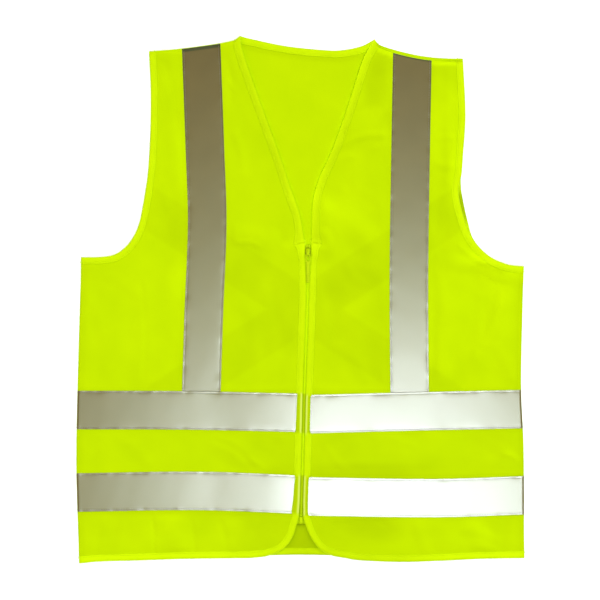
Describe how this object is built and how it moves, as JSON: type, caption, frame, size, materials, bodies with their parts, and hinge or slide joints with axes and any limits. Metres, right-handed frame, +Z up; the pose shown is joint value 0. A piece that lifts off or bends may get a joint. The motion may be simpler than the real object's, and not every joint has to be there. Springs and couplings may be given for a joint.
{
  "type": "safety vest",
  "caption": "Sleeveless high-visibility safety vest with a V neck, zip front, bound edges and reflective tape, laid flat on its back.",
  "frame": {"origin": "under the middle of the vest's bounding box, on the surface it lies on", "axes": "+Z up out of the front, +Y towards the collar, +X towards the wearer's left"},
  "size_m": [0.5813, 0.6845, 0.0125],
  "materials": {
    "cloth": "fluorescent yellow-green warp-knit polyester",
    "binding": "fluorescent yellow-green knit binding, folded",
    "reflective_tape": "silver-grey glass-bead reflective tape",
    "zip_tape": "yellow-green woven zip tape",
    "zip_coil": "yellow-green polyester coil",
    "lime_paint": "yellow-green enamel on die-cast zinc"
  },
  "bodies": {
    "vest": {"back_panel": "cloth", "front_right": "cloth", "front_left": "cloth", "binding_neck_back": "binding", "binding_neck_right": "binding", "binding_neck_left": "binding", "binding_armhole_back_right": "binding", "binding_armhole_back_left": "binding", "binding_armhole_front_right": "binding", "binding_armhole_front_left": "binding", "binding_front_right": "binding", "binding_front_left": "binding", "binding_hem_back": "binding", "band_upper_right": "reflective_tape", "band_upper_left": "reflective_tape", "band_lower_right": "reflective_tape", "band_lower_left": "reflective_tape", "brace_right": "reflective_tape", "brace_left": "reflective_tape", "back_band_upper": "reflective_tape", "back_band_lower": "reflective_tape", "back_cross_under": "reflective_tape", "back_cross_over": "reflective_tape", "zip_tape_right": "zip_tape", "zip_tape_left": "zip_tape", "zip_chain": "zip_coil", "zip_box": "zip_coil", "zip_stop_right": "lime_paint", "zip_stop_left": "lime_paint", "zip_slider": "lime_paint"},
    "pull": {"zip_pull": "lime_paint"}
  },
  "joints": [
    {"name": "pull_swing", "type": "hinge", "parent": "vest", "child": "pull", "pos_m": [0.0097, 0.0587, 0.00788], "axis": [-1, 0, 0], "range_deg": [0, 170]}
  ]
}
